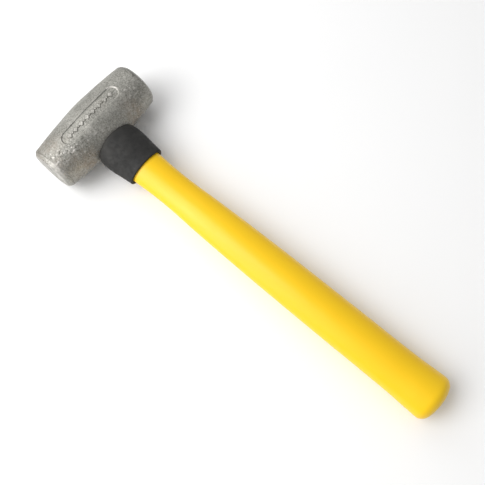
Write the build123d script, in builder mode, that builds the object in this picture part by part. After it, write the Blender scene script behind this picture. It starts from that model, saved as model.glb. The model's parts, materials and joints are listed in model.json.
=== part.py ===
from build123d import *
from math import asin, cos, sin
import os

# Double-faced soft-alloy hammer with a fibreglass handle, lying on its side.
# +Z is up, the handle runs along +X from the head to the butt, and the two
# striking faces look along +Y and -Y. The origin is on the surface that the
# hammer lies on, under the middle of its bounding box. All sizes in mm.

# Whole tool
overall_length = 380.4  # back of the head to the tip of the butt

# Head casting
head_length = 105.6  # face to face
barrel_radius = 24.2  # at the middle of the head
flank_end_radius = 20.4  # where the flank meets the bevel
crown_radius = 60.0  # soft ridge round the middle of the barrel
crown_half_angle = 2.4  # degrees of that ridge, each side
bevel_length = 3.2  # along the head
bevel_height = 2.4  # across the head
bevel_edge_radius = 2.2  # both rims of the bevel are cast soft

# Raised panel in a recess on the upper side of the barrel
recess_span = 51.0  # between the centres of its round ends
recess_width = 11.6
recess_depth = 0.9
mark_height = 0.7  # above the floor of the recess
mark_count = 8  # lozenges, with a round stud between each two
mark_pitch = 6.8
lozenge_half = 2.4
stud_radius = 0.75
recess_reach = 5.0  # tools that cut the recess start this far under the skin

# Eye through the head, wider at the back so that the potting can't pull out
eye_back = (14.5, 10.5)  # half width along the head, half thickness
eye_mouth = (12.5, 8.4)
potting_sink = 0.6  # resin stands this far under the barrel's skin

# Fibreglass core of the handle
core_oval = (10.4, 6.4)
core_cover = 3.4  # resin over the core's end, at the back of the head
butt_wall = 16.0  # solid jacket behind the core

# Potting seal between the head and the jacket
seal_plug_depth = 7.0  # how far the plug goes into the eye
jacket_start = 27.0  # from the head's axis

# Handle jacket, as (distance from the head's axis, half width, half thickness)
jacket_stations = (
    (10.0, 15.7, 10.4),
    (30.0, 15.7, 10.4),
    (48.0, 15.65, 10.3),
    (62.0, 15.3, 10.1),
    (74.0, 14.65, 9.7),
    (86.0, 14.4, 9.5),
    (98.0, 14.6, 9.7),
    (116.0, 15.4, 10.5),
    (140.0, 16.2, 11.4),
    (172.0, 17.0, 12.3),
    (215.0, 17.6, 13.1),
    (260.0, 17.95, 13.5),
    (300.0, 18.05, 13.6),
    (325.0, 18.35, 13.85),
    (338.0, 18.95, 14.35),
    (348.0, 19.3, 14.6),
    (362.0, 19.35, 14.6),
)
butt_half_thickness = 14.6
butt_rest = 347.5  # station where the butt touches the ground
butt_cap_radius = 45.0
butt_edge_radius = 8.5
butt_trim_size = 60.0

# Rubber collar, stations as for the jacket
collar_stations = (
    (8.0, 19.0, 13.3),
    (20.0, 19.8, 13.7),
    (32.0, 20.9, 14.0),
    (40.0, 20.5, 13.6),
    (49.0, 19.4, 12.9),
    (57.8, 18.5, 12.4),
)
collar_lip_radius = 0.8

oval_edge_ratio = 0.8  # radius of an oval's narrow edge over its half thickness

# Worked out
half_head = head_length / 2
face_radius = flank_end_radius - bevel_height
head_back = barrel_radius - potting_sink  # the resin in the eye is the backmost point
butt_tip = overall_length - head_back
rest_tilt = asin((barrel_radius - butt_half_thickness) / butt_rest)
butt_reach = (butt_tip - butt_cap_radius) * cos(rest_tilt) + butt_cap_radius

# The tool's own plane: x along the handle, y along the head, z square to both.
# It leans by the small angle that lets barrel and butt both touch the ground.
tool = Plane(
    origin=((head_back - butt_reach) / 2, 0, barrel_radius),
    x_dir=(cos(rest_tilt), 0, -sin(rest_tilt)),
    z_dir=(sin(rest_tilt), 0, cos(rest_tilt)),
)
head_axis = Axis(tool.origin, tool.y_dir)
handle_axis = Axis(tool.origin, tool.x_dir)


def station(distance):
    """Plane square to the handle; its x runs along the head, its y upward."""
    centre = tool.from_local_coords(Vector(distance, 0, 0))
    return Plane(origin=centre, x_dir=tool.y_dir, z_dir=tool.x_dir)


def oval(distance, half_width, half_thickness):
    """Oval of four tangent arcs, drawn at one station of the handle."""
    edge_radius = oval_edge_ratio * half_thickness
    edge_centre = half_width - edge_radius
    flat_radius = (edge_centre**2 + half_thickness**2 - edge_radius**2) / (2 * (half_thickness - edge_radius))
    reach = edge_radius / (flat_radius - edge_radius)
    join_x = edge_centre * (1 + reach)
    join_y = (flat_radius - half_thickness) * reach
    with BuildSketch(station(distance)) as section:
        with BuildLine():
            ThreePointArc((-join_x, join_y), (0, half_thickness), (join_x, join_y))
            ThreePointArc((join_x, join_y), (half_width, 0), (join_x, -join_y))
            ThreePointArc((join_x, -join_y), (0, -half_thickness), (-join_x, -join_y))
            ThreePointArc((-join_x, -join_y), (-half_width, 0), (-join_x, join_y))
        make_face()
    return section.sketch


def barrel_blank(inset=0.0):
    """The barrel turned about the head's axis, with its skin set in by inset."""
    crown_centre = barrel_radius - crown_radius
    bevel_start = half_head - bevel_length
    with BuildPart() as blank:
        with BuildSketch(station(0)):
            with BuildLine():
                crown = CenterArc(
                    (0, crown_centre), crown_radius - inset, 90 - crown_half_angle, 2 * crown_half_angle
                )
                flank_end = flank_end_radius - inset
                TangentArc(crown @ 0, (bevel_start, flank_end), tangent=-(crown % 0))
                TangentArc(crown @ 1, (-bevel_start, flank_end), tangent=crown % 1)
                Polyline(
                    (bevel_start, flank_end),
                    (half_head, face_radius - inset),
                    (half_head, 0),
                    (-half_head, 0),
                    (-half_head, face_radius - inset),
                    (-bevel_start, flank_end),
                )
            make_face()
        revolve(axis=head_axis)
    return blank.part


# ---- Forms that several pieces share -------------------------------------

with BuildPart() as barrel:
    add(barrel_blank())
    bevel_rims = barrel.edges().filter_by(GeomType.CIRCLE).filter_by(
        lambda rim: abs(tool.to_local_coords(rim.arc_center).Y) > half_head - bevel_length - 1
    )
    fillet(bevel_rims, bevel_edge_radius)

with BuildPart() as eye:
    back_station = -barrel_radius - 2
    mouth_station = barrel_radius + 2
    loft(sections=[oval(back_station, *eye_back), oval(mouth_station, *eye_mouth)])

# Everything behind the shallow dome of the butt
with BuildPart() as butt_trim:
    with BuildSketch(station(butt_tip - butt_trim_size / 4)):
        Rectangle(butt_trim_size, butt_trim_size)
    extrude(amount=butt_trim_size / 2)
    dome_centre = tool.from_local_coords(Vector(butt_tip - butt_cap_radius, 0, 0))
    with Locations(Plane(origin=dome_centre, x_dir=-tool.x_dir, z_dir=tool.z_dir)):
        Sphere(butt_cap_radius, mode=Mode.SUBTRACT)

# Solid outside of the handle, from inside the barrel to the butt
with BuildPart() as grip_form:
    loft(sections=[oval(*values) for values in jacket_stations])
    add(butt_trim.part, mode=Mode.SUBTRACT)
    dome = grip_form.faces().filter_by(GeomType.SPHERE)
    fillet(dome.edges(), butt_edge_radius)

# Straight pultruded bar, the outside of the core
with BuildPart() as core_form:
    core_back = core_cover - barrel_radius
    extrude(to_extrude=oval(core_back, *core_oval), amount=butt_tip - butt_wall - core_back)


# ---- Head: one casting with its eye, recess and raised marks --------------

with BuildPart() as recess:
    with BuildSketch(tool.offset(barrel_radius - recess_reach)):
        SlotCenterToCenter(recess_span, recess_width, rotation=90)
    extrude(amount=2 * recess_reach)
    add(barrel_blank(recess_depth), mode=Mode.SUBTRACT)

with BuildPart() as marks:
    with BuildSketch(tool.offset(barrel_radius - recess_reach)):
        with GridLocations(mark_pitch, mark_pitch, 1, mark_count):
            RegularPolygon(lozenge_half, 4, rotation=45)
        with GridLocations(mark_pitch, mark_pitch, 1, mark_count - 1):
            Circle(stud_radius)
    extrude(amount=2 * recess_reach)
    add(barrel_blank(recess_depth - mark_height), mode=Mode.INTERSECT)

with BuildPart() as head_casting:
    add(barrel.part)
    add(recess.part, mode=Mode.SUBTRACT)
    add(marks.part)
    add(eye.part, mode=Mode.SUBTRACT)

# ---- Handle: core bar inside a moulded jacket ------------------------------

with BuildPart() as handle_core:
    add(core_form.part)

with BuildPart() as handle_jacket:
    add(grip_form.part)
    split(bisect_by=station(jacket_start), keep=Keep.TOP)
    add(core_form.part, mode=Mode.SUBTRACT)

# ---- Potting: a seal closes the mouth of the eye, resin fills the rest ------

seal_station = station(barrel_radius - seal_plug_depth)

with BuildPart() as seal_plug:
    add(eye.part)
    split(bisect_by=seal_station, keep=Keep.TOP)

with BuildPart() as potting_seal:
    add(grip_form.part)
    split(bisect_by=station(jacket_start), keep=Keep.BOTTOM)
    add(barrel.part, mode=Mode.SUBTRACT)
    add(seal_plug.part)
    add(core_form.part, mode=Mode.SUBTRACT)

with BuildPart() as eye_resin:
    add(eye.part)
    split(bisect_by=seal_station, keep=Keep.BOTTOM)
    add(barrel_blank(potting_sink), mode=Mode.INTERSECT)
    add(core_form.part, mode=Mode.SUBTRACT)

# ---- Collar: rubber sleeve over the jacket, coped to the barrel -------------

with BuildPart() as overstrike_collar:
    loft(sections=[oval(*values) for values in collar_stations])
    lip_face = overstrike_collar.faces().filter_by(GeomType.PLANE).sort_by(handle_axis)[-1]
    fillet(lip_face.edges(), collar_lip_radius)
    add(barrel.part, mode=Mode.SUBTRACT)
    add(grip_form.part, mode=Mode.SUBTRACT)

# ---- Each piece goes out under its own name ---------------------------------

os.makedirs("parts", exist_ok=True)

head_casting.part.label = "head_casting"
export_step(head_casting.part, "parts/head_casting.step")

handle_core.part.label = "handle_core"
export_step(handle_core.part, "parts/handle_core.step")

handle_jacket.part.label = "handle_jacket"
export_step(handle_jacket.part, "parts/handle_jacket.step")

potting_seal.part.label = "potting_seal"
export_step(potting_seal.part, "parts/potting_seal.step")

eye_resin.part.label = "eye_resin"
export_step(eye_resin.part, "parts/eye_resin.step")

overstrike_collar.part.label = "overstrike_collar"
export_step(overstrike_collar.part, "parts/overstrike_collar.step")
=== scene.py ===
"""Looks of a double-faced soft-alloy hammer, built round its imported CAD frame.

Shapes are worked out in the tool's own frame, in millimetres: x along the handle from the
head's centre, y along the head, z square to both. They are placed by the frame's mounts.
"""

import json

import bmesh
import bpy
import numpy as np
from mathutils import Matrix, Vector


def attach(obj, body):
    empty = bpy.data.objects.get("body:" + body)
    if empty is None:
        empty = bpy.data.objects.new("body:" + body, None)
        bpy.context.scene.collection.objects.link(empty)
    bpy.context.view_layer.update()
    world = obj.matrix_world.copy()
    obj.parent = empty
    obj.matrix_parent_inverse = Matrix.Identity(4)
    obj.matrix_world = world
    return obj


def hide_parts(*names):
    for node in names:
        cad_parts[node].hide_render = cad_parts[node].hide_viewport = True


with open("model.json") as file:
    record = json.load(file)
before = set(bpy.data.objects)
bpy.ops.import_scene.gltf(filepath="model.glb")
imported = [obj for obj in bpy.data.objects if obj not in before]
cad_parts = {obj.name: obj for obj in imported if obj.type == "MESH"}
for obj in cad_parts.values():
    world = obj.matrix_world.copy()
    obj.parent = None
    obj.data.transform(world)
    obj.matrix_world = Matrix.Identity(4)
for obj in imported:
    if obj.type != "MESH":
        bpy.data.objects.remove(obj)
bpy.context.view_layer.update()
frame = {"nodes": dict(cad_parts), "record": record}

MM = 0.001
TURN = 2 * np.pi

# ---- Places and driving sizes, from the frame -------------------------------

mounts = {mount["name"]: mount for mount in frame["record"]["mounts"]}
face_a = Vector(mounts["striking_face_a"]["pos_m"])
face_b = Vector(mounts["striking_face_b"]["pos_m"])
head_centre = (face_a + face_b) / 2
tool_x = Vector(mounts["grip"]["axis"]).normalized()
tool_y = (face_a - face_b).normalized()
tool_z = tool_x.cross(tool_y)

HALF_HEAD = (face_a - face_b).length / 2 / MM
BARREL_RADIUS = head_centre.z / MM


def to_row(points):
    """Points of the tool's frame in millimetres, as row-frame points in metres."""
    axes = np.array([tool_x, tool_y, tool_z])
    return points @ axes * MM + np.array(head_centre)


def to_tool(point):
    """A row-frame point in metres, in the tool's frame in millimetres."""
    offset = (Vector(point) - head_centre) / MM
    return Vector((offset.dot(tool_x), offset.dot(tool_y), offset.dot(tool_z)))


def reach_along_handle(node):
    """Lowest and highest x of a CAD node in the tool's frame."""
    reach = [to_tool(vertex.co).x for vertex in frame["nodes"][node].data.vertices]
    return min(reach), max(reach)


JACKET_START, BUTT_TIP = reach_along_handle("handle_jacket")
COLLAR_END = reach_along_handle("overstrike_collar")[1]

# Head
FLANK_END_RADIUS = 20.4
BEVEL_LENGTH = 3.2
BEVEL_HEIGHT = 2.4
BEVEL_EDGE_RADIUS = 2.2
CROWN_RADIUS = 60.0
CROWN_HALF_ANGLE = np.radians(2.4)
RECESS_SPAN = 51.0
RECESS_WIDTH = 11.6
RECESS_DEPTH = 0.9
MARK_HEIGHT = 0.7
MARK_COUNT = 8
MARK_PITCH = 6.8
LOZENGE_HALF = 2.4
STUD_RADIUS = 0.75

PANEL_HALF = RECESS_SPAN / 2 + RECESS_WIDTH / 2

# Spacing of the head's points in mm: rings along y, then points round each ring
RING_PITCH_BY_PANEL, RING_PITCH_ON_FLAT, RING_PITCH = 0.28, 0.7, 0.42
FLAT_TOLERANCE = 0.02
TURN_PITCH_BY_PANEL, TURN_PITCH_ON_TOP, TURN_PITCH = 0.27, 0.46, 0.8
TOP_RUN = 20  # how far the upper side reaches round the barrel from its top line, in mm

# Dents of the head, and how far its whole skin is sunk so that the texture stays in the CAD box
DENT_SEED = 11
SIDE_DENTS = 110
FACE_DENTS = 26
SKIN_SINK = 0.22

# Ragged ledge round each end, as its distance from the face; at face b it drifts along x
LEDGE_AT_A = 2.3
LEDGE_AT_B = 3.8
LEDGE_DRIFT = 0.06
LEDGE_STEP = 0.20

# Patches of the casting's upper skin, as (x, y, radius, strength)
COARSE_SPOTS = (
    (9.0, -30.0, 8.0, 1.0),
    (13.0, -20.0, 6.0, 0.8),
    (6.0, -41.0, 6.5, 0.9),
    (9.0, 38.0, 9.0, 0.6),
)
SMOOTH_SPOTS = ((-14.0, 0.0, 26.0, 0.9), (-6.0, 36.0, 12.0, 0.8), (-10.0, -38.0, 11.0, 0.8))
BRIGHT_SPOTS = ((9.0, -49.5, 4.0, 1.0), (14.0, -50.0, 3.0, 0.6), (4.0, -50.5, 2.5, 0.5))
STAIN_SPOTS = (
    (22.0, -27.0, 7.0, 0.9),
    (15.0, -37.0, 6.0, 0.45),
    (9.0, -46.0, 5.0, 0.6),
    (21.0, 28.0, 8.0, 0.85),
    (-9.0, -40.0, 10.0, 0.5),
)

# Eye and resin, as (half width along the head, half thickness)
EYE_BACK = (14.5, 10.5)
EYE_MOUTH = (12.5, 8.4)
EYE_OVERRUN = 2.0
RESIN_SINK = 0.6

# Handle jacket and collar, as (x, half width, half thickness)
JACKET = (
    (10.0, 15.7, 10.4),
    (30.0, 15.7, 10.4),
    (48.0, 15.65, 10.3),
    (62.0, 15.3, 10.1),
    (74.0, 14.65, 9.7),
    (86.0, 14.4, 9.5),
    (98.0, 14.6, 9.7),
    (116.0, 15.4, 10.5),
    (140.0, 16.2, 11.4),
    (172.0, 17.0, 12.3),
    (215.0, 17.6, 13.1),
    (260.0, 17.95, 13.5),
    (300.0, 18.05, 13.6),
    (325.0, 18.35, 13.85),
    (338.0, 18.95, 14.35),
    (348.0, 19.3, 14.6),
    (362.0, 19.35, 14.6),
)
COLLAR = (
    (8.0, 19.0, 13.3),
    (20.0, 19.8, 13.7),
    (32.0, 20.9, 14.0),
    (40.0, 20.5, 13.6),
    (49.0, 19.4, 12.9),
    (57.8, 18.5, 12.4),
)
OVAL_EDGE_RATIO = 0.8
CORE_OVAL = (10.4, 6.4)
BUTT_WALL = 16.0
BUTT_CAP_RADIUS = 45.0
BUTT_EDGE_RADIUS = 8.5

# Collar: rounded lip at its end, rolled edge at the head, depth it reaches into the barrel
LIP_RADIUS = 0.8
ROLL_LENGTH = 4.5
ROLL_DEPTH = 1.8
COLLAR_EMBED = 0.7
COLLAR_BORE_GAP = 0.04
COLLAR_BORE_START = 30.0

# Floor and camera: viewing angle in the tool's frame, distance in metres, aim in mm
FLOOR_HALF = 3.0
VIEW_AZIMUTH = np.radians(39.84)
VIEW_ELEVATION = np.radians(75.3)
VIEW_DISTANCE = 0.560
AIM = (160.0, 1.5, 0.0)
SENSOR = 36.0
LENS = 51.6


# ---- Numbers: curves and noise ----------------------------------------------


def smooth_step(value):
    """0 below 0, 1 above 1, and an even S between."""
    value = np.clip(value, 0, 1)
    return value * value * (3 - 2 * value)


def through(stations, x):
    """Half width and half thickness at x, on a smooth curve through the stations."""
    table = np.array(stations)
    knots = table[:, 0]
    at = np.clip(np.searchsorted(knots, x) - 1, 0, len(knots) - 2)
    span = knots[at + 1] - knots[at]
    t = (x - knots[at]) / span
    sizes = []
    for column in (1, 2):
        level = table[:, column]
        slope = np.gradient(level, knots)
        sizes.append(
            level[at] * (1 + 2 * t) * (1 - t) ** 2
            + slope[at] * span * t * (1 - t) ** 2
            + level[at + 1] * t * t * (3 - 2 * t)
            + slope[at + 1] * span * t * t * (t - 1)
        )
    return sizes


def noise(points, cell, seed):
    """Smooth noise from -1 to 1 that changes over about one cell."""
    size = 48
    lattice = np.random.default_rng(seed).uniform(-1, 1, (size, size, size))
    scaled = points / cell + 1000.0
    base = np.floor(scaled).astype(int)
    blend = smooth_step(scaled - base)
    total = np.zeros(points.shape[:-1])
    for corner in np.ndindex(2, 2, 2):
        weight = np.ones_like(total)
        index = []
        for axis in range(3):
            share = blend[..., axis]
            weight = weight * (share if corner[axis] else 1 - share)
            index.append((base[..., axis] + corner[axis]) % size)
        total += weight * lattice[tuple(index)]
    return total


def oval(half_width, half_thickness, count, edge_radius=None):
    """Points round an oval of four tangent arcs, evenly spaced, as (y, z) pairs."""
    if edge_radius is None:
        edge_radius = OVAL_EDGE_RATIO * half_thickness
    edge_centre = half_width - edge_radius
    flat_radius = edge_centre**2 + half_thickness**2 - edge_radius**2
    flat_radius /= 2 * (half_thickness - edge_radius)
    join_angle = np.arctan2(flat_radius - half_thickness, edge_centre)
    edge_run = edge_radius * join_angle
    quarter_run = edge_run + flat_radius * (np.pi / 2 - join_angle)
    run = np.arange(count) / count * 4
    quadrant = np.floor(run).astype(int)
    along = (run - quadrant) * quarter_run
    along = np.where(quadrant % 2 == 0, along, quarter_run - along)
    on_edge = along < edge_run
    angle = np.where(on_edge, along / edge_radius, join_angle + (along - edge_run) / flat_radius)
    radius = np.where(on_edge, edge_radius, flat_radius)
    y = np.where(on_edge, edge_centre, 0) + radius * np.cos(angle)
    z = np.where(on_edge, 0, half_thickness - flat_radius) + radius * np.sin(angle)
    y = y * np.where((quadrant == 1) | (quadrant == 2), -1, 1)
    z = z * np.where(quadrant >= 2, -1, 1)
    return y, z


# ---- Meshes -------------------------------------------------------------------


def mesh_object(name, points, faces, material, attributes=None):
    """A smooth-shaded object from tool-frame points, with values stored at its points."""
    mesh = bpy.data.meshes.new(name)
    mesh.from_pydata(to_row(points).tolist(), [], faces)
    for key, values in (attributes or {}).items():
        layer = mesh.attributes.new(key, "FLOAT", "POINT")
        layer.data.foreach_set("value", values.astype(np.float32))
    mesh.materials.append(material)
    mesh.shade_smooth()
    mesh.validate()
    piece = bpy.data.objects.new(name, mesh)
    bpy.context.scene.collection.objects.link(piece)
    return piece


def ring_faces(rings, around, closed=False):
    """Quads between rings of points; closed joins the last ring to the first."""
    last = rings if closed else rings - 1
    faces = []
    for ring in range(last):
        here = ring * around
        there = (ring + 1) % rings * around
        for step in range(around):
            after = (step + 1) % around
            faces.append((here + step, here + after, there + after, there + step))
    return faces


def fillet_corner(before, corner, after, radius, steps=7):
    """Arc points that round one corner of an outline."""
    to_before = (before - corner) / np.linalg.norm(before - corner)
    to_after = (after - corner) / np.linalg.norm(after - corner)
    half_angle = np.arccos(np.clip(to_before @ to_after, -1, 1)) / 2
    bisector = (to_before + to_after) / np.linalg.norm(to_before + to_after)
    centre = corner + bisector * radius / np.sin(half_angle)
    start = corner + to_before * radius / np.tan(half_angle) - centre
    end = corner + to_after * radius / np.tan(half_angle) - centre
    shares = np.linspace(0, 1, steps)[:, None]
    spokes = start * (1 - shares) + end * shares
    return centre + spokes / np.linalg.norm(spokes, axis=1)[:, None] * radius


# ---- Head ---------------------------------------------------------------------


def barrel_outline():
    """Half outline of the barrel, from its middle to the centre of a face, as (y, r)."""
    ridge_half = CROWN_RADIUS * np.sin(CROWN_HALF_ANGLE)
    ridge_edge = BARREL_RADIUS - CROWN_RADIUS * (1 - np.cos(CROWN_HALF_ANGLE))
    bevel_start = HALF_HEAD - BEVEL_LENGTH
    ridge_y = np.linspace(0, ridge_half, 6)[:-1]
    ridge_r = BARREL_RADIUS - CROWN_RADIUS + np.sqrt(CROWN_RADIUS**2 - ridge_y**2)
    flank_y = np.linspace(ridge_half, bevel_start, 60)
    run = flank_y - ridge_half
    slope = np.tan(CROWN_HALF_ANGLE)
    bow = (ridge_edge - FLANK_END_RADIUS - slope * run[-1]) / run[-1] ** 2
    flank_r = ridge_edge - slope * run - bow * run**2
    flank = np.column_stack([flank_y, flank_r])
    shoulder = flank[-1]
    rim = np.array([HALF_HEAD, FLANK_END_RADIUS - BEVEL_HEIGHT])
    centre = np.array([HALF_HEAD, 0.0])
    shoulder_arc = fillet_corner(flank[-4], shoulder, rim, BEVEL_EDGE_RADIUS)
    rim_arc = fillet_corner(shoulder, rim, centre, BEVEL_EDGE_RADIUS)
    flank = flank[flank[:, 0] < shoulder_arc[0, 0]]
    ridge = np.column_stack([ridge_y, ridge_r])
    return np.vstack([ridge, flank, shoulder_arc, rim_arc, centre])


def running_total(at, density):
    """Integral of a density from the first point up to each point."""
    steps = (density[1:] + density[:-1]) / 2 * np.diff(at)
    return np.concatenate([[0], np.cumsum(steps)])


def resample(outline, pitch_at):
    """The outline again, with points spaced by pitch_at(y)."""
    run = np.concatenate([[0], np.cumsum(np.linalg.norm(np.diff(outline, axis=0), axis=1))])
    fine = np.linspace(0, run[-1], 4000)
    y = np.interp(fine, run, outline[:, 0])
    amount = running_total(fine, 1 / pitch_at(y))
    count = int(np.ceil(amount[-1]))
    at = np.interp(np.linspace(0, amount[-1], count + 1), amount, fine)
    return np.column_stack([np.interp(at, run, outline[:, axis]) for axis in (0, 1)])


def head_pitch(y):
    """Spacing of the head's rings: fine beside the panel, coarse on the flat faces."""
    pitch = np.where(y > HALF_HEAD - FLAT_TOLERANCE, RING_PITCH_ON_FLAT, RING_PITCH)
    return np.where(y < PANEL_HALF, RING_PITCH_BY_PANEL, pitch)


def panel_relief(x, y):
    """Height of the recessed panel over the skin in mm, its marks, and the painted shade round them."""
    beyond = np.maximum(np.abs(y) - RECESS_SPAN / 2, 0)
    to_edge = RECESS_WIDTH / 2 - np.hypot(beyond, x)
    floor = smooth_step(to_edge / 0.55 + 0.35)
    height = -RECESS_DEPTH * floor
    first = -(MARK_COUNT - 1) / 2 * MARK_PITCH
    soft = 0.26
    marks = np.zeros(x.shape)
    apron = np.zeros(x.shape)
    for index in range(MARK_COUNT):
        centre = first + index * MARK_PITCH
        inside = LOZENGE_HALF - (np.abs(x) + np.abs(y - centre))
        marks += smooth_step(inside / soft / 1.4 + 0.5)
        apron = np.maximum(apron, smooth_step(inside / 1.1 + 1.0))
        if index < MARK_COUNT - 1:
            inside = STUD_RADIUS - np.hypot(x, y - centre - MARK_PITCH / 2)
            marks += smooth_step(inside / soft + 0.5)
            apron = np.maximum(apron, smooth_step(inside / 0.9 + 1.0))
    # The third value is painted shade, a narrow dark band round each mark.
    return height + MARK_HEIGHT * marks, marks, np.clip(apron - marks, 0, 1)


def dents(points, centres, widths, depths):
    """Depth at the given points of many round dents, each with a low lip round it."""
    depth = np.zeros(points.shape[:-1])
    for centre, width, deep in zip(centres, widths, depths):
        distance = np.linalg.norm(points - centre, axis=-1) / width
        bowl = np.clip(1 - distance**2, 0, 1) ** 1.5
        lip = np.exp(-(((distance - 1.12) / 0.22) ** 2)) * 0.18
        depth += deep * (bowl - lip)
    return depth


def head_surface():
    """Grid of points over the whole barrel, with casting texture, panel, wear, stains and painted
    highlight and shade.
    """
    half = resample(barrel_outline(), head_pitch)
    outline = np.vstack([half[::-1] * (-1, 1), half[1:]])
    fine = np.linspace(0, TURN, 2881)
    from_top = np.abs((fine + np.pi) % TURN - np.pi) * BARREL_RADIUS
    pitch = np.where(from_top < TOP_RUN, TURN_PITCH_ON_TOP, TURN_PITCH)
    pitch = np.where(from_top < RECESS_WIDTH / 2 + 1, TURN_PITCH_BY_PANEL, pitch)
    amount = running_total(fine, 1 / pitch)
    around = int(amount[-1] * BARREL_RADIUS)
    angle = np.interp(np.arange(around) / around * amount[-1], amount, fine)

    y, radius = outline[:, 0][:, None], outline[:, 1][:, None]
    sine, cosine = np.sin(angle)[None, :], np.cos(angle)[None, :]
    points = np.stack([radius * sine, y + 0 * sine, radius * cosine], axis=-1)

    slope = np.gradient(outline, axis=0)
    slope /= np.linalg.norm(slope, axis=1)[:, None]
    out_y, out_r = -slope[:, 1][:, None], slope[:, 0][:, None]
    normals = np.stack([out_r * sine, out_y + 0 * sine, out_r * cosine], axis=-1)

    return points, normals, head_relief(points, normals)


def spots(points, places):
    """Soft round patches, each given as (x, y, radius, strength), on the upper side."""
    amount = np.zeros(points.shape[:-1])
    for x, y, radius, strength in places:
        distance = np.hypot(points[..., 0] - x, points[..., 1] - y) / radius
        amount = np.maximum(amount, strength * np.exp(-(distance**2)))
    return amount * (points[..., 2] > -2)


def side_dents(points, rng):
    """Knocks on the barrel, most of them towards face b, and none centred in the panel."""
    half = SIDE_DENTS // 2
    along = np.concatenate([rng.normal(-33, 9, half), rng.uniform(-50, 50, half)])
    turn = np.concatenate([rng.normal(0.35, 0.45, half), rng.uniform(0, TURN, half)])
    along = np.clip(along, -HALF_HEAD + 1, HALF_HEAD - 1)
    at_radius = np.interp(np.abs(along), [0, HALF_HEAD], [BARREL_RADIUS, FLANK_END_RADIUS])
    centres = np.column_stack([at_radius * np.sin(turn), along, at_radius * np.cos(turn)])
    clear = np.abs(along) > PANEL_HALF
    clear |= np.abs(centres[:, 0]) > RECESS_WIDTH / 2 + 1
    widths = rng.uniform(0.6, 1.7, SIDE_DENTS)
    depths = rng.uniform(0.06, 0.22, SIDE_DENTS) * clear
    return dents(points, centres, widths, depths)


def face_dents(points, rng):
    """Wider knocks on the two striking faces, by turns on the one and the other."""
    from_axis = FLANK_END_RADIUS * np.sqrt(rng.uniform(0, 0.6, FACE_DENTS))
    turn = rng.uniform(0, TURN, FACE_DENTS)
    side = np.where(np.arange(FACE_DENTS) % 2 == 0, 1, -1)
    centres = np.column_stack(
        [from_axis * np.sin(turn), side * HALF_HEAD, from_axis * np.cos(turn)]
    )
    widths = rng.uniform(1.6, 4.0, FACE_DENTS)
    depths = rng.uniform(0.10, 0.28, FACE_DENTS)
    return dents(points, centres, widths, depths)


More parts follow.
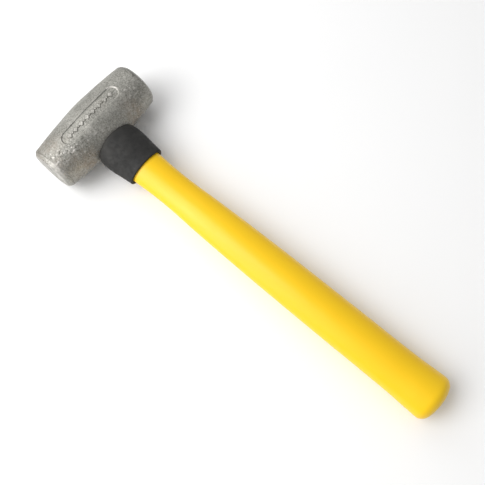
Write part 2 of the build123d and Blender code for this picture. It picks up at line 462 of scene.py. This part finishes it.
def head_relief(points, normals):
    """How far the real skin stands off the turned one, how worn and stained it is, and its painted
    highlight and shade.
    """
    x, y = points[..., 0], points[..., 1]
    on_top = points[..., 2] > 0
    panel, marks, mark_shade = [values * on_top for values in panel_relief(x, y)]
    on_face = smooth_step((np.abs(normals[..., 1]) - 0.9) / 0.08)
    ledge_y = HALF_HEAD - np.where(y > 0, LEDGE_AT_A, LEDGE_AT_B + LEDGE_DRIFT * x)
    ledge_y = ledge_y + 0.5 * noise(points, 5.0, 12) + 0.25 * noise(points, 1.6, 13)
    past_ledge = smooth_step((np.abs(y) - ledge_y) / 0.5)
    on_bevel = past_ledge * (1 - on_face)

    beyond = np.maximum(np.abs(y) - RECESS_SPAN / 2, 0)
    around_panel = smooth_step((RECESS_WIDTH / 2 + 2 - np.hypot(x, beyond)) / 2) * on_top
    patch = smooth_step(noise(points, 11.0, 5) * 1.1 + 0.45)
    patch = 0.45 * patch * (1 - spots(points, SMOOTH_SPOTS))
    coarse = np.maximum(spots(points, COARSE_SPOTS), patch)
    coarse = coarse * (1 - 0.75 * around_panel)

    swell = 0.15 * noise(points, 17.0, 3) + 0.08 * noise(points, 6.5, 4)
    grain = 0.035 * noise(points, 1.0, 7) + 0.035 * noise(points, 1.9, 8)
    pits = np.clip(noise(points, 1.25, 6) - 0.2, 0, 1) ** 1.3
    blisters = np.clip(noise(points, 1.5, 14) - 0.35, 0, 1)
    grain = grain * (0.8 + 1.6 * coarse) + (0.30 * blisters - 0.34 * pits) * (0.12 + coarse)
    step = -LEDGE_STEP * past_ledge * (1 - on_face)
    bruising = on_bevel * (0.16 * noise(points, 3.4, 9) + 0.09 * noise(points, 1.6, 10))

    rng = np.random.default_rng(DENT_SEED)
    knocks = side_dents(points, rng)
    knocks += face_dents(points, rng)

    seam = np.exp(-((points[..., 2] / 0.55) ** 2)) * 0.14 * (1 - on_face)
    height = panel + swell * (1 - 0.8 * on_face) + grain * (1 - 0.6 * on_face) + step + bruising
    height += seam - knocks

    # Lighter colour: worn bright spots and worn tops of the marks.
    brightening = spots(points, BRIGHT_SPOTS) * (0.75 + 0.4 * noise(points, 1.3, 15))
    brightening = np.maximum(brightening, 0.45 * marks * (0.6 + 0.7 * noise(points, 1.8, 18)))
    # Painted highlight on the panel's rim past its +y end, where the rim wall faces the light.
    past_end = (y > RECESS_SPAN / 2) & (x < 2)
    rim_gap = RECESS_WIDTH / 2 - np.hypot(x, beyond)
    brightening = np.maximum(brightening, 0.9 * np.exp(-((rim_gap / 0.5) ** 2)) * past_end * on_top)
    polish = on_face * np.clip(0.16 + 0.5 * noise(points, 5.5, 20), 0, 1)
    wear_and_highlight = np.clip(polish + 0.02 * on_bevel + knocks * 1.5 + brightening, 0, 1)
    # Painted highlight: raised blisters coloured brighter.
    wear_and_highlight = wear_and_highlight + 0.9 * np.clip(0.30 * blisters * (0.12 + coarse) * 10, 0, 1) * (1 - wear_and_highlight)
    # Painted shade: darker colour in the pits, in the crease at the ledge, and round the marks in the
    # panel.
    painted_shade = np.clip(pits * (0.12 + coarse) * 3.0, 0, 1)
    painted_shade += 0.8 * np.exp(-(((np.abs(y) - ledge_y) / 0.45) ** 2))
    painted_shade += 1.1 * mark_shade * (0.75 + 0.5 * noise(points, 1.5, 19))
    stain = spots(points, STAIN_SPOTS) * (0.7 + 0.6 * noise(points, 2.6, 16))
    stain = np.maximum(stain, 0.5 * smooth_step(noise(points, 14.0, 17) * 1.6 - 0.55))
    looks = [np.clip(values, 0, 1) for values in (wear_and_highlight, painted_shade, stain)]
    return height - SKIN_SINK, *looks


def capped_rings(points):
    """Faces over a stack of rings, with a middle point closing each end.

    Returns the points in one list, the two middle points last, and the faces."""
    rings, around = points.shape[:2]
    flat = points.reshape(-1, 3)
    first_middle, last_middle = points[0].mean(axis=0), points[-1].mean(axis=0)
    faces = ring_faces(rings, around)
    low, high = len(flat), len(flat) + 1
    top = (rings - 1) * around
    for step in range(around):
        after = (step + 1) % around
        faces.append((after, step, low))
        faces.append((top + step, top + after, high))
    return np.vstack([flat, first_middle, last_middle]), faces


def eye_oval(x):
    """Half width and half thickness of the eye at x."""
    share = (x + BARREL_RADIUS + EYE_OVERRUN) / (2 * (BARREL_RADIUS + EYE_OVERRUN))
    return [back * (1 - share) + mouth * share for back, mouth in zip(EYE_BACK, EYE_MOUTH)]


def stack_ovals(sections, around):
    """Rings of an array of ovals, given as (x, half width, half thickness, scale)."""
    rings = []
    for x, half_width, half_thickness, scale in sections:
        y, z = oval(half_width, half_thickness, around)
        rings.append(np.column_stack([np.full(around, x), y * scale, z * scale]))
    return np.array(rings)


def drop_mid_edge_points(mesh):
    """Removes points with only two edges, where triangles would double up."""
    shape = bmesh.new()
    shape.from_mesh(mesh)
    spare = [vertex for vertex in shape.verts if len(vertex.link_edges) == 2]
    bmesh.ops.dissolve_verts(shape, verts=spare)
    shape.to_mesh(mesh)
    shape.free()


def cut_eye(piece):
    """Cuts the tapered eye through the head."""
    back, mouth = -BARREL_RADIUS - EYE_OVERRUN, BARREL_RADIUS + EYE_OVERRUN
    rings = stack_ovals([(x, *eye_oval(x), 1.0) for x in (back, mouth)], 160)
    points, faces = capped_rings(rings)
    cutter = mesh_object("eye_cutter", points, faces, piece.data.materials[0])
    modifier = piece.modifiers.new("eye", "BOOLEAN")
    modifier.operation = "DIFFERENCE"
    modifier.solver = "MANIFOLD"
    modifier.object = cutter
    bpy.context.view_layer.update()
    evaluated = piece.evaluated_get(bpy.context.evaluated_depsgraph_get())
    cut = bpy.data.meshes.new_from_object(evaluated)
    drop_mid_edge_points(cut)
    piece.modifiers.clear()
    piece.data = cut
    bpy.data.objects.remove(cutter)
    cut.set_sharp_from_angle(angle=np.radians(55))


def make_head(material):
    """The casting, with its wear and painted highlights, painted shade and stains stored at its points."""
    points, normals, (height, wear_and_highlight, painted_shade, stain) = head_surface()
    skin = points + normals * height[..., None]
    vertices, faces = capped_rings(skin[1:-1])
    attributes = {}
    for key, values in (("wear_and_highlight", wear_and_highlight), ("painted_shade", painted_shade), ("stain", stain)):
        attributes[key] = np.concatenate([values[1:-1].ravel(), [values[0, 0], values[-1, 0]]])
    head = mesh_object("cast_head", vertices, faces, material, attributes)
    cut_eye(head)
    return head


# ---- Potting resin ------------------------------------------------------------


def barrel_radius_at(y):
    """Radius of the barrel's skin at y, away from the bevels."""
    outline = barrel_outline()
    return np.interp(np.abs(y), outline[:, 0], outline[:, 1])


def make_resin(material):
    """A poured plug: dished top at the back of the head, straight walls, bore for the core."""
    around = 120
    floor_x = reach_along_handle("potting_seal")[0]
    back = -BARREL_RADIUS - EYE_OVERRUN
    rings = []
    for share in np.linspace(0.04, 1, 26):
        y, z = oval(*eye_oval(back + EYE_OVERRUN), around)
        y, z = y * share, z * share
        skin = np.sqrt((barrel_radius_at(y) - RESIN_SINK) ** 2 - z**2)
        creep = 0.35 * np.exp((share - 1) / 0.06) - 0.25
        wave = 0.08 * noise(np.column_stack([y * 0, y, z]), 5.0, 31)
        rings.append(np.column_stack([-(skin + creep + wave), y, z]))
    for x in np.linspace(-BARREL_RADIUS + 4, floor_x, 8):
        y, z = oval(*eye_oval(x), around)
        rings.append(np.column_stack([np.full(around, x), y, z]))
    core_back = reach_along_handle("handle_core")[0]
    for x in (floor_x, core_back):
        y, z = oval(*CORE_OVAL, around)
        rings.append(np.column_stack([np.full(around, x), y, z]))
    points, faces = capped_rings(np.array(rings))
    resin = mesh_object("potting_pour", points, faces, material)
    resin.data.set_sharp_from_angle(angle=np.radians(50))
    return resin


# ---- Collar ---------------------------------------------------------------------


def collar_ring(x, inset, around):
    """One ring of the collar, at a station that may differ from point to point."""
    a, b = through(COLLAR, np.maximum(x, COLLAR[0][0]))
    unit_y, unit_z = oval(*through(COLLAR, np.array(30.0)), around)
    base_a, base_b = through(COLLAR, np.array(30.0))
    y = unit_y * (a - inset) / base_a
    z = unit_z * (b - inset) / base_b
    return np.column_stack([x, y, z])


def make_collar(material):
    """Rubber sleeve: a rolled edge coped to the barrel, a soft body, and a lip on the jacket."""
    around, body_rings = 260, 74
    y, z = oval(*through(COLLAR, np.array(22.0)), around)
    start = np.sqrt((barrel_radius_at(y) - COLLAR_EMBED) ** 2 - z**2)
    rings = []
    for share in np.linspace(0, 1, body_rings):
        x = start + (COLLAR_END - LIP_RADIUS - start) * share
        rings.append(collar_ring(x, 0.0, around))
    for angle in np.linspace(0, np.pi / 2, 7)[1:]:
        x = np.full(around, COLLAR_END - LIP_RADIUS + LIP_RADIUS * np.sin(angle))
        rings.append(collar_ring(x, LIP_RADIUS * (1 - np.cos(angle)), around))
    for back, gap in ((0, 0.75), (0.25, 0.5), (1.6, 0.3), (3.0, COLLAR_BORE_GAP)):
        x = COLLAR_END - back
        a, b = through(JACKET, np.array(x))
        y, z = oval(a + gap, b + gap, around)
        rings.append(np.column_stack([np.full(around, x), y, z]))
    a, b = through(JACKET, np.array(COLLAR_BORE_START))
    y, z = oval(a + COLLAR_BORE_GAP, b + COLLAR_BORE_GAP, around)
    inner_start = np.sqrt((barrel_radius_at(y) - COLLAR_EMBED) ** 2 - z**2)
    rings.append(np.column_stack([np.full(around, COLLAR_BORE_START), y, z]))
    rings.append(np.column_stack([inner_start, y, z]))
    points = np.array(rings)
    outer = points[:body_rings]
    roll = np.clip((outer[..., 0] - start[None, :]) / ROLL_LENGTH, 0, 1)
    centre = outer * (1, 0, 0)
    spoke = outer - centre
    length = np.linalg.norm(spoke, axis=-1, keepdims=True)
    relief = -ROLL_DEPTH * (1 - np.sqrt(1 - (1 - roll) ** 2))
    relief += 0.10 * noise(outer, 9.0, 41) + 0.035 * noise(outer, 2.6, 42)
    relief += 0.012 * noise(outer, 0.9, 43)
    points[:body_rings] = centre + spoke * (1 + relief[..., None] / length)
    # Share of paler grey: strongest next to the head, reaching further along the −y side, with random
    # patches.
    brightening = np.zeros(points.shape[:2])
    fade = np.where(outer[..., 1] < -6, 5.0, 2.0)
    near_head = np.exp(-(outer[..., 0] - start[None, :]) / fade)
    brightening[:body_rings] = near_head * 0.8 + 0.25 * smooth_step(noise(outer, 6.0, 44))
    faces = ring_faces(len(points), around, closed=True)
    attributes = {"brightening": brightening.ravel()}
    collar = mesh_object("rubber_collar", points.reshape(-1, 3), faces, material, attributes)
    collar.data.set_sharp_from_angle(angle=np.radians(60))
    return collar


# ---- Jacket ---------------------------------------------------------------------


def dome_x(ring):
    """Where the butt's dome is at each point of a ring."""
    from_axis = np.hypot(ring[:, 1], ring[:, 2])
    return BUTT_TIP - BUTT_CAP_RADIUS + np.sqrt(BUTT_CAP_RADIUS**2 - from_axis**2)


def make_jacket(material):
    """Moulded sleeve: smooth oval grip with a mould seam, flared and domed butt, core bore."""
    around = 220
    edge_x = BUTT_TIP - BUTT_EDGE_RADIUS - 0.9
    stations = np.linspace(JACKET_START, edge_x, 330)
    sizes = through(JACKET, stations)
    rings = list(stack_ovals([(*row, 1.0) for row in zip(stations, *sizes)], around))
    a, b = sizes[0][-1], sizes[1][-1]
    edge_r = OVAL_EDGE_RATIO * b
    for angle in np.linspace(0, np.pi / 2, 16)[1:]:
        inset = BUTT_EDGE_RADIUS * (1 - np.cos(angle))
        y, z = oval(a - inset, b - inset, around, edge_r - inset)
        x = edge_x + BUTT_EDGE_RADIUS * np.sin(angle) * 0.93
        rings.append(np.column_stack([np.full(around, x), y, z]))
    last = rings[-1]
    cap_x = dome_x(last)
    shift = cap_x - last[:, 0]
    for index in range(1, 16):
        rings[-index][:, 0] += shift * (1 - (index - 1) / 15)
    for scale in np.linspace(1, 0.04, 18)[1:]:
        ring = last * (1, scale, scale)
        ring[:, 0] = dome_x(ring)
        rings.append(ring)
    outer = np.array(rings)
    lift = 0.07 * np.exp(-((outer[..., 2] / 0.3) ** 2))
    lift += 0.05 * noise(outer, 22.0, 51) + 0.012 * noise(outer, 4.0, 52)
    spoke = outer * (0, 1, 1)
    length = np.maximum(np.linalg.norm(spoke, axis=-1, keepdims=True), 1.0)
    outer = outer + spoke / length * lift[..., None]

    core_tip = BUTT_TIP - BUTT_WALL
    bore = stack_ovals([(x, *CORE_OVAL, 1.0) for x in (core_tip, JACKET_START)], around)
    points, faces = capped_rings(np.vstack([bore, outer]))
    jacket = mesh_object("grip_jacket", points, faces, material)
    jacket.data.set_sharp_from_angle(angle=np.radians(60))
    return jacket


# ---- Materials --------------------------------------------------------------------


class Shader:
    """A Principled material with short ways to add the nodes that this file uses."""

    def __init__(self, name, roughness, metallic=0.0):
        self.material = bpy.data.materials.new(name)
        self.material.use_nodes = True
        self.nodes = self.material.node_tree.nodes
        self.links = self.material.node_tree.links
        self.surface = self.nodes["Principled BSDF"]
        self.surface.inputs["Roughness"].default_value = roughness
        self.surface.inputs["Metallic"].default_value = metallic
        self.place = self.nodes.new("ShaderNodeTexCoord").outputs["Object"]

    def noise(self, scale, detail=4.0, roughness=0.55, stretch=None):
        """Noise in object space; stretch scales the axes apart."""
        node = self.nodes.new("ShaderNodeTexNoise")
        node.inputs["Scale"].default_value = scale
        node.inputs["Detail"].default_value = detail
        node.inputs["Roughness"].default_value = roughness
        place = self.place
        if stretch:
            mapping = self.nodes.new("ShaderNodeMapping")
            mapping.inputs["Scale"].default_value = stretch
            self.links.new(place, mapping.inputs["Vector"])
            place = mapping.outputs["Vector"]
        self.links.new(place, node.inputs["Vector"])
        return node.outputs["Fac"]

    def attribute(self, name):
        """A value stored at the points of the mesh."""
        node = self.nodes.new("ShaderNodeAttribute")
        node.attribute_name = name
        return node.outputs["Fac"]

    def ramp(self, value, *stops):
        """Colour ramp; each stop is (position, colour or grey level)."""
        node = self.nodes.new("ShaderNodeValToRGB")
        elements = node.color_ramp.elements
        while len(elements) < len(stops):
            elements.new(0.5)
        for element, (position, colour) in zip(elements, stops):
            element.position = position
            element.color = (*colour, 1) if isinstance(colour, tuple) else (colour,) * 3 + (1,)
        self.links.new(value, node.inputs["Fac"])
        return node.outputs["Color"]

    def mix(self, share, first, second, mode="MIX"):
        """Two colours mixed by a share."""
        node = self.nodes.new("ShaderNodeMix")
        node.data_type = "RGBA"
        node.blend_type = mode
        self.feed(node.inputs["Factor"], share)
        self.feed(node.inputs["A"], first)
        self.feed(node.inputs["B"], second)
        return node.outputs["Result"]

    def math(self, operation, first, second):
        """One Math node on two values."""
        node = self.nodes.new("ShaderNodeMath")
        node.operation = operation
        for socket, value in zip(node.inputs, (first, second)):
            self.feed(socket, value)
        return node.outputs["Value"]

    def feed(self, socket, value):
        """Links a socket, or sets it to a colour or number."""
        if isinstance(value, bpy.types.NodeSocket):
            self.links.new(value, socket)
        elif isinstance(value, tuple):
            socket.default_value = (*value, 1)
        else:
            socket.default_value = value

    def set(self, name, value):
        """Feeds a socket of the surface."""
        self.feed(self.surface.inputs[name], value)

    def bump(self, height, distance, strength=1.0):
        """Adds a bump after those that are there; distance is in metres."""
        node = self.nodes.new("ShaderNodeBump")
        node.inputs["Distance"].default_value = distance
        node.inputs["Strength"].default_value = strength
        self.links.new(height, node.inputs["Height"])
        previous = self.surface.inputs["Normal"]
        if previous.is_linked:
            self.links.new(previous.links[0].from_socket, node.inputs["Normal"])
        self.links.new(node.outputs["Normal"], previous)


def cast_alloy():
    """Warm grey casting: painted shade in pits, creases and round the marks, bright worn spots with
    painted highlights, brown stains.
    """
    shader = Shader("cast_alloy", roughness=0.5, metallic=0.85)
    clouds = shader.ramp(shader.noise(60, 3), (0.35, (0.335, 0.33, 0.30)), (0.68, (0.435, 0.425, 0.388)))
    speckle = shader.ramp(shader.noise(900, 3, 0.7), (0.34, 0.48), (0.64, 1.22))
    base = shader.mix(0.8, clouds, speckle, "MULTIPLY")
    stain = shader.math("MULTIPLY", shader.attribute("stain"), 0.6)
    base = shader.mix(stain, base, (0.25, 0.185, 0.13))
    # Painted shade: darker colour in pits, at the ledge crease and round the marks.
    base = shader.mix(shader.math("MULTIPLY", shader.attribute("painted_shade"), 0.7), base, (0.10, 0.095, 0.08))
    bright = shader.ramp(shader.noise(420, 4, 0.65), (0.35, (0.50, 0.48, 0.45)), (0.7, (0.76, 0.73, 0.69)))
    # Brighter colour for worn places and for painted highlights on the panel rim and blisters.
    shader.set("Base Color", shader.mix(shader.attribute("wear_and_highlight"), base, bright))
    shader.set("Roughness", shader.ramp(shader.noise(260, 4, 0.6), (0.3, 0.46), (0.75, 0.64)))
    shader.bump(shader.noise(1500, 5, 0.65), 0.00016)
    shader.bump(shader.noise(620, 3, 0.5), 0.00022, 0.8)
    return shader.material


def black_rubber():
    """Dull black rubber, paler grey where the share stored on the collar is high."""
    shader = Shader("black_rubber", roughness=0.7)
    spread = shader.noise(170, 4, 0.6)
    mottle = shader.ramp(spread, (0.35, (0.013, 0.013, 0.0125)), (0.7, (0.023, 0.022, 0.0205)))
    grey_share = shader.math("MULTIPLY", shader.attribute("brightening"), shader.noise(600, 4, 0.7))
    shader.set("Base Color", shader.mix(grey_share, mottle, (0.07, 0.066, 0.06)))
    shader.set("Specular IOR Level", 0.4)
    shader.set("Roughness", shader.ramp(shader.noise(300, 3), (0.3, 0.6), (0.7, 0.8)))
    shader.bump(shader.noise(1300, 4, 0.6), 0.00006)
    return shader.material


def yellow_jacket():
    """Yellow plastic with faint streaks along the handle."""
    shader = Shader("yellow_jacket", roughness=0.4)
    tone = shader.ramp(
        shader.noise(26, 4, 0.6, (0.35, 1, 1)), (0.3, (0.92, 0.56, 0.004)), (0.75, (0.94, 0.595, 0.007))
    )
    handling = shader.ramp(shader.noise(210, 5, 0.7, (0.3, 1, 1)), (0.62, 0.0), (0.80, 0.2))
    shader.set("Base Color", shader.mix(handling, tone, (0.72, 0.42, 0.02)))
    shader.set("Specular IOR Level", 0.45)
    shader.set("Roughness", shader.ramp(shader.noise(120, 4, 0.6, (0.4, 1, 1)), (0.3, 0.30), (0.75, 0.40)))
    shader.bump(shader.noise(900, 3, 0.5), 0.00002, 0.6)
    return shader.material


def resin():
    """Dark potting resin."""
    shader = Shader("potting_resin", roughness=0.3)
    tone = shader.ramp(shader.noise(240, 4, 0.6), (0.35, (0.075, 0.07, 0.06)), (0.7, (0.12, 0.115, 0.10)))
    shader.set("Base Color", tone)
    shader.set("Roughness", shader.ramp(shader.noise(500, 3), (0.3, 0.2), (0.7, 0.42)))
    shader.bump(shader.noise(700, 3, 0.5), 0.00008)
    return shader.material


def fibreglass():
    """Pale strands along the core."""
    shader = Shader("fibreglass_bar", roughness=0.45)
    strands = shader.noise(900, 3, 0.6, (0.03, 1, 1))
    shader.set("Base Color", shader.ramp(strands, (0.35, (0.52, 0.46, 0.28)), (0.65, (0.70, 0.64, 0.42))))
    shader.set("Roughness", shader.ramp(strands, (0.3, 0.35), (0.7, 0.6)))
    shader.bump(strands, 0.00005)
    return shader.material


def seal_rubber():
    """Plain black rubber."""
    shader = Shader("seal_rubber", roughness=0.75)
    shader.set("Base Color", shader.ramp(shader.noise(300, 4), (0.35, 0.03), (0.7, 0.06)))
    shader.bump(shader.noise(1200, 3), 0.00005)
    return shader.material


# ---- The hammer -----------------------------------------------------------------------

head = make_head(cast_alloy())
collar = make_collar(black_rubber())
jacket = make_jacket(yellow_jacket())
pour = make_resin(resin())

for piece, node, slot in (
    (head, "head_casting", "head_alloy"),
    (collar, "overstrike_collar", "black_rubber"),
    (jacket, "handle_jacket", "yellow_jacket"),
    (pour, "eye_resin", "potting_resin"),
):
    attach(piece, "root")
    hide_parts(node)

for node, material in (("handle_core", fibreglass()), ("potting_seal", seal_rubber())):
    frame["nodes"][node].data.materials.clear()
    frame["nodes"][node].data.materials.append(material)

# ---- Floor, light and camera ------------------------------------------------------------


def make_floor():
    """A plain pale floor at z = 0."""
    shader = Shader("pale_floor", roughness=0.9)
    tone = shader.ramp(shader.noise(3, 3), (0.3, 0.94), (0.7, 0.96))
    shader.set("Base Color", tone)
    mesh = bpy.data.meshes.new("floor")
    signs = ((-1, -1), (1, -1), (1, 1), (-1, 1))
    corners = [(x * FLOOR_HALF, y * FLOOR_HALF, 0) for x, y in signs]
    mesh.from_pydata(corners, [], [(0, 1, 2, 3)])
    mesh.materials.append(shader.material)
    floor = bpy.data.objects.new("floor", mesh)
    bpy.context.scene.collection.objects.link(floor)


def soft_box(name, direction, distance, size, power):
    """A square light that looks at the middle of the hammer."""
    light = bpy.data.lights.new(name, "AREA")
    light.shape = "SQUARE"
    light.size = size
    light.energy = power
    lamp = bpy.data.objects.new(name, light)
    toward = Vector(direction).normalized()
    lamp.location = toward * distance
    lamp.rotation_euler = toward.to_track_quat("Z", "Y").to_euler()
    bpy.context.scene.collection.objects.link(lamp)


make_floor()
soft_box("key", (-0.48, -0.44, 0.95), 1.3, 0.9, 9.5)
soft_box("side", (-0.42, -0.88, 0.52), 1.2, 1.1, 8.3)
soft_box("back", (-0.95, 0.30, 0.75), 1.5, 1.1, 4.5)

world = bpy.data.worlds.new("studio")
world.use_nodes = True
world.node_tree.nodes["Background"].inputs["Color"].default_value = (1.0, 1.0, 1.0, 1)
world.node_tree.nodes["Background"].inputs["Strength"].default_value = 0.42
bpy.context.scene.world = world
bpy.context.scene.view_settings.view_transform = "Standard"


def make_camera():
    """The camera at the photograph's viewing angle."""
    sine, cosine = np.sin(VIEW_AZIMUTH), np.cos(VIEW_AZIMUTH)
    flat, rise = np.cos(VIEW_ELEVATION), np.sin(VIEW_ELEVATION)
    axes = Matrix((tool_x, tool_y, tool_z)).transposed()
    back = axes @ Vector((sine * flat, -cosine * flat, rise))
    right = tool_z.cross(back).normalized()
    up = back.cross(right)
    data = bpy.data.cameras.new("camera")
    data.sensor_width = SENSOR
    data.lens = LENS
    data.clip_start = 0.01
    camera = bpy.data.objects.new("camera", data)
    aim = Vector(to_row(np.array(AIM)))
    place = Matrix((right, up, back)).transposed().to_4x4()
    place.translation = aim + back * VIEW_DISTANCE
    camera.matrix_world = place
    bpy.context.scene.collection.objects.link(camera)
    bpy.context.scene.camera = camera


make_camera()
